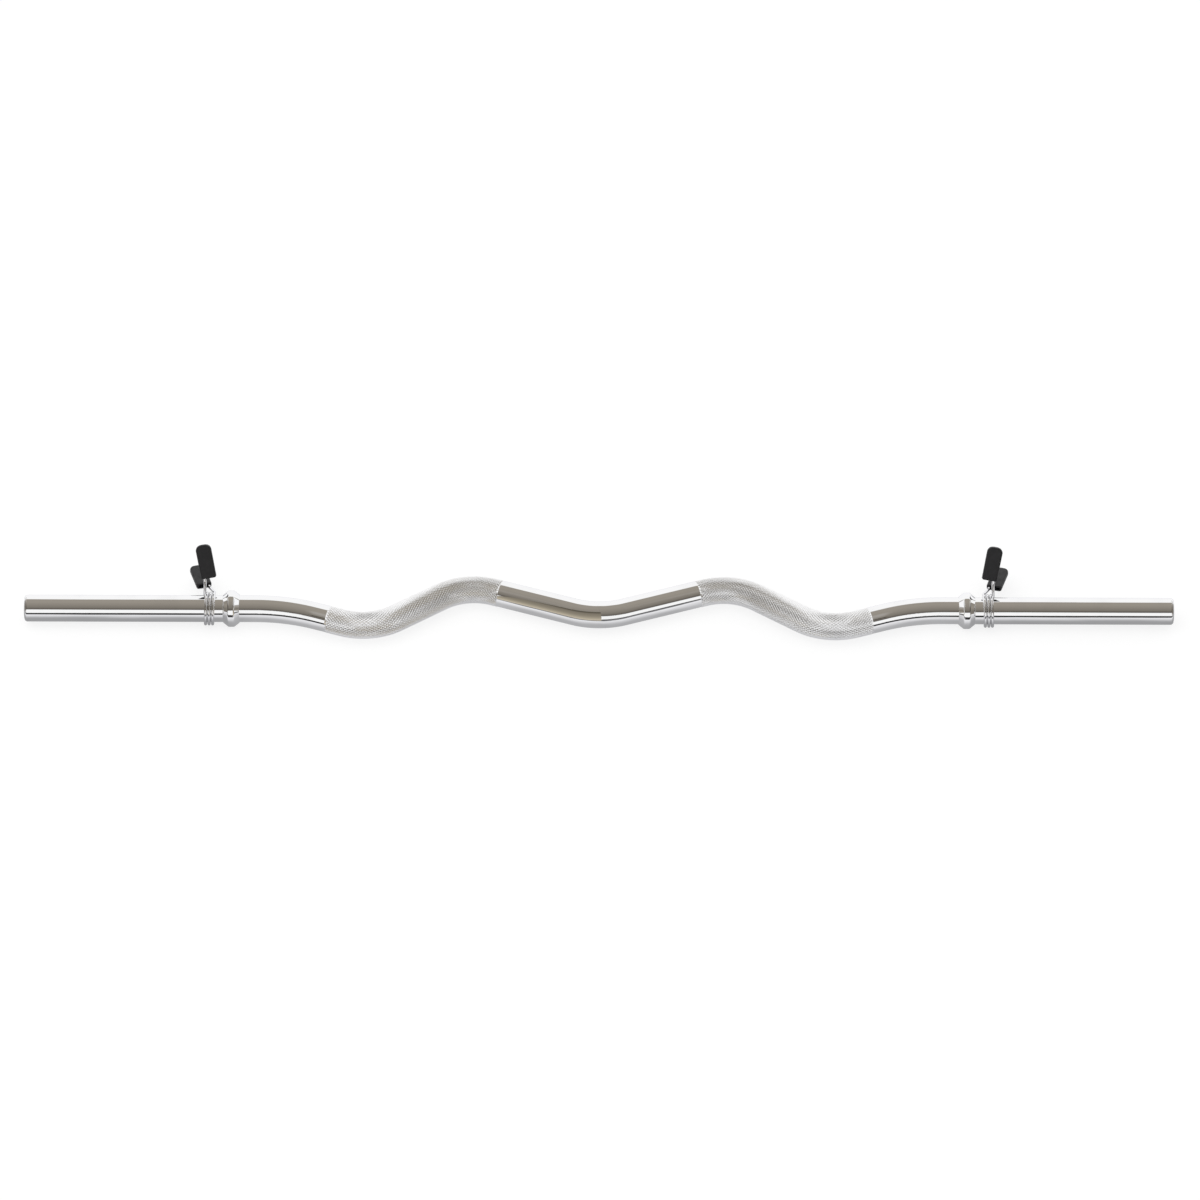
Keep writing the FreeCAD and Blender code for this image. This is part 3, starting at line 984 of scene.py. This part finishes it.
def floor_material(finishes, rod):
    """A white floor; the plating mirrors it with the bar's shadow painted along the bar, that painted
    shadow lightened in places, and dark far in front of it.
    """
    material, tree = new_material("white_floor")
    path = add_node(tree, "ShaderNodeLightPath").outputs
    place = add_node(tree, "ShaderNodeTexCoord").outputs["Object"]
    x, y = add_node(tree, "ShaderNodeSeparateXYZ", {0: place}).outputs[:2]
    aside = math_node(tree, "ABSOLUTE", x)
    # The ramp holds 0 to 1, for bends that lie up to this swing in front of the sleeves or behind them
    swing = 0.1
    bends = [(bend_x, 0.5 + bend_y / (2 * swing)) for bend_x, bend_y, radius in bar_bends(rod)]
    bends.append((FLOOR_PAINTED_LIGHT_SHARES[-1][0], 0.5))
    bend = new_ramp(tree, aside, toned(WHITE_TINT, bends))
    bend = math_node(tree, "MULTIPLY_ADD", bend, 2 * swing, -swing)
    straight_y = math_node(tree, "SUBTRACT", y, bend)
    waver = between(tree, noise(tree, place, scale=14, detail=3), 0.25, 0.75, 0.88, 1.12)
    wavering_y = math_node(tree, "MULTIPLY", straight_y, waver)
    # Painted shadow: the bar's shadow on the mirrored floor, drawn by y, and the floor dark far in
    # front
    shaded = new_ramp(tree, wavering_y, toned(finishes.floor_near, FLOOR_PAINTED_SHADOW_TONES))
    # Painted light: how much of that painted shadow is taken away, by the distance from the bar's
    # middle
    painted_light = new_ramp(tree, aside, toned(WHITE_TINT, FLOOR_PAINTED_LIGHT_SHARES))
    mirrored = mix_colours(tree, painted_light, shaded, (*finishes.floor_near, 1))
    glow = math_node(tree, "MULTIPLY", path["Is Camera Ray"], finishes.floor_glow)
    inputs = {
        "Base Color": mix_colours(tree, path["Is Glossy Ray"], (*finishes.floor, 1), BLACK),
        "Emission Color": mix_colours(tree, path["Is Glossy Ray"], WHITE, mirrored),
        "Emission Strength": math_node(tree, "ADD", glow, path["Is Glossy Ray"]),
        "Roughness": 1.0,
        "Specular IOR Level": 0.0,
    }
    surface(tree, inputs)
    return material


def room_colours(tree, finishes):
    """What stands round the bar: a dark skirting, a white front, a dim room above, white sides."""
    bands = [
        (turn, tone if tone is WHITE_TINT else dimmed(finishes.room, tone))
        for turn, tone in ROOM_TONES
    ]
    way = add_node(tree, "ShaderNodeTexCoord").outputs["Generated"]
    x, y, z = add_node(tree, "ShaderNodeSeparateXYZ", {0: way}).outputs
    turn = math_node(tree, "ARCTAN2", z, math_node(tree, "MULTIPLY", y, -1.0))
    turn = math_node(tree, "DEGREES", turn)
    drawn = add_node(tree, "ShaderNodeMapping", {"Vector": way, "Scale": (90, 6, 6)}).outputs[0]
    waver = between(tree, noise(tree, drawn, scale=1, detail=3), 0.2, 0.8, -1.5, 1.5)
    front = new_ramp(tree, math_node(tree, "ADD", turn, waver), bands)
    high = math_node(tree, "MULTIPLY", math_node(tree, "MULTIPLY", z, z), 0.35)
    aside = math_node(tree, "MULTIPLY_ADD", x, x, high)
    return mix_colours(tree, between(tree, aside, 0.39, 0.5, 0, 1), front, WHITE)


def board_material(name, bands):
    """What the plating mirrors of a board: one colour, or colours that change with height."""
    material, tree = new_material(name)
    seen = (*bands[0][1], 1)
    if len(bands) > 1:
        place = add_node(tree, "ShaderNodeTexCoord").outputs["Object"]
        height = add_node(tree, "ShaderNodeSeparateXYZ", {0: place}).outputs[2]
        seen = new_ramp(tree, height, bands)
    inputs = {
        "Base Color": BLACK,
        "Emission Color": seen,
        "Emission Strength": 1.0,
        "Specular IOR Level": 0.0,
    }
    surface(tree, inputs)
    return material


class CURLBAR_OT_stage(bpy.types.Operator):
    """Set up the floor, the mirrored boards, the light and the camera"""

    bl_idname = "curl_bar.stage"
    bl_label = "Stage"

    def execute(self, context):
        finishes = context.scene.curl_bar_finishes
        self.lay_floor(finishes, context.scene.curl_bar_rod)
        self.stand_boards(finishes)
        self.light(finishes)
        self.aim(context.scene.curl_bar_view)
        context.scene.view_settings.view_transform = "Standard"
        return {"FINISHED"}

    def lay_floor(self, finishes, rod):
        """A wide floor, which the collars stand on."""
        reach = 5
        corners = [(-reach, -reach, 0), (reach, -reach, 0), (reach, reach, 0), (-reach, reach, 0)]
        floor = new_piece("floor", corners, (), [(0, 1, 2, 3)])
        floor.data.materials.append(floor_material(finishes, rod))

    def stand_boards(self, finishes):
        """Boards out of frame: by the middle bend, over the front bends and beyond the tips."""
        room = finishes.room
        warm = toned(finishes.board, WARM_TONES)
        self.stand_board("warm_board", warm, [(x, WARM_Y, z) for x, z in WARM_CORNERS])
        middle = toned(room, MIDDLE_TONES)
        self.stand_board("middle_board", middle, [(0, y, z) for y, z in MIDDLE_CORNERS])
        dark = toned(room, DARK_TONES)
        ends = toned(room, END_TONES) + END_GREYS
        for name, side in SIDES.items():
            corners = [(side * DARK_X, y, z) for y, z in DARK_CORNERS]
            self.stand_board(name + "_board", dark, corners)
            corners = [(side * x, y, CARD_Z) for x, y in CARD_CORNERS]
            self.stand_board(name + "_card", [(0, WHITE_TINT)], corners)
            corners = [(side * END_X, y, z) for y, z in END_CORNERS]
            self.stand_board(name + "_end_board", ends, corners)

    def stand_board(self, name, bands, corners):
        """A board that only reflections show."""
        board = new_piece(name, corners, (), [tuple(range(len(corners)))])
        board.data.materials.append(board_material(name, bands))
        board.visible_camera = board.visible_diffuse = board.visible_shadow = False

    def light(self, finishes):
        """A soft white world, with the room in reflections only, and one soft lamp."""
        world = bpy.data.worlds.new("studio")
        bpy.context.scene.world = world
        world.use_nodes = True
        tree = world.node_tree
        tree.nodes.clear()
        path = add_node(tree, "ShaderNodeLightPath").outputs
        shades = [(WHITE, 0.75), (WHITE, 1), (room_colours(tree, finishes), 1)]
        soft, white, room = (
            add_node(tree, "ShaderNodeBackground", {"Color": tint, "Strength": strength}).outputs[0]
            for tint, strength in shades
        )
        mirrored = math_node(tree, "MAXIMUM", path["Is Glossy Ray"], path["Is Transmission Ray"])
        lit = {0: mirrored, 1: soft, 2: room}
        lit = add_node(tree, "ShaderNodeMixShader", lit).outputs[0]
        seen = {0: path["Is Camera Ray"], 1: lit, 2: white}
        seen = add_node(tree, "ShaderNodeMixShader", seen).outputs[0]
        add_node(tree, "ShaderNodeOutputWorld", {"Surface": seen})

        lamp = bpy.data.lights.new("softbox", "AREA")
        lamp.shape = "SQUARE"
        lamp.size = 2.4
        lamp.energy = 14
        softbox = bpy.data.objects.new("softbox", lamp)
        softbox.location = (-0.7, -0.8, 2.2)
        softbox.rotation_euler = (-softbox.location).to_track_quat("-Z", "Y").to_euler()
        softbox.visible_glossy = False
        bpy.context.scene.collection.objects.link(softbox)

    def aim(self, view):
        """A camera with a long lens, at the height and framing that the view gives."""
        lens = bpy.data.cameras.new("camera")
        lens.sensor_width = 36
        lens.lens = lens.sensor_width * view.distance / view.width
        lens.clip_end = 100
        camera = bpy.data.objects.new("camera", lens)
        back = Vector((0, -math.cos(view.elevation), math.sin(view.elevation)))
        above = Vector((0, math.sin(view.elevation), math.cos(view.elevation)))
        target = AXIS + above * view.drop + Vector((view.offset, 0, 0))
        camera.location = target + back * view.distance
        rolled = Quaternion((0, 0, 1), view.roll)
        camera.rotation_euler = ((-back).to_track_quat("-Z", "Y") @ rolled).to_euler()
        bpy.context.scene.collection.objects.link(camera)
        bpy.context.scene.camera = camera


class CURLBAR_PT_panel(bpy.types.Panel):
    """Lists the pieces of the bar and their sizes"""

    bl_idname = "CURLBAR_PT_panel"
    bl_label = "Curl Bar"
    bl_space_type = "VIEW_3D"
    bl_region_type = "UI"
    bl_category = "Curl Bar"

    def draw(self, context):
        for operator in OPERATORS:
            self.layout.operator(operator.bl_idname)
        for name in GROUPS:
            values = getattr(context.scene, name)
            box = self.layout.box()
            for key in values.bl_rna.properties.keys():
                if key not in ("rna_type", "name"):
                    box.prop(values, key)


OPERATORS = (
    CURLBAR_OT_rod,
    CURLBAR_OT_knurling,
    CURLBAR_OT_collars,
    CURLBAR_OT_springs,
    CURLBAR_OT_grips,
    CURLBAR_OT_stage,
)
GROUPS = {
    "curl_bar_rod": CurlBarRodSizes,
    "curl_bar_clip": CurlBarClipSizes,
    "curl_bar_finishes": CurlBarFinishes,
    "curl_bar_view": CurlBarView,
}
CLASSES = (*GROUPS.values(), *OPERATORS, CURLBAR_PT_panel)


def register():
    for item in CLASSES:
        bpy.utils.register_class(item)
    for name, group in GROUPS.items():
        setattr(bpy.types.Scene, name, PointerProperty(type=group))


def unregister():
    for name in GROUPS:
        delattr(bpy.types.Scene, name)
    for item in reversed(CLASSES):
        bpy.utils.unregister_class(item)


def main():
    register()
    bpy.ops.curl_bar.rod()
    bpy.ops.curl_bar.knurling()
    bpy.ops.curl_bar.collars()
    bpy.ops.curl_bar.springs()
    bpy.ops.curl_bar.grips()
    bpy.ops.curl_bar.stage()


if __name__ == "__main__":
    main()
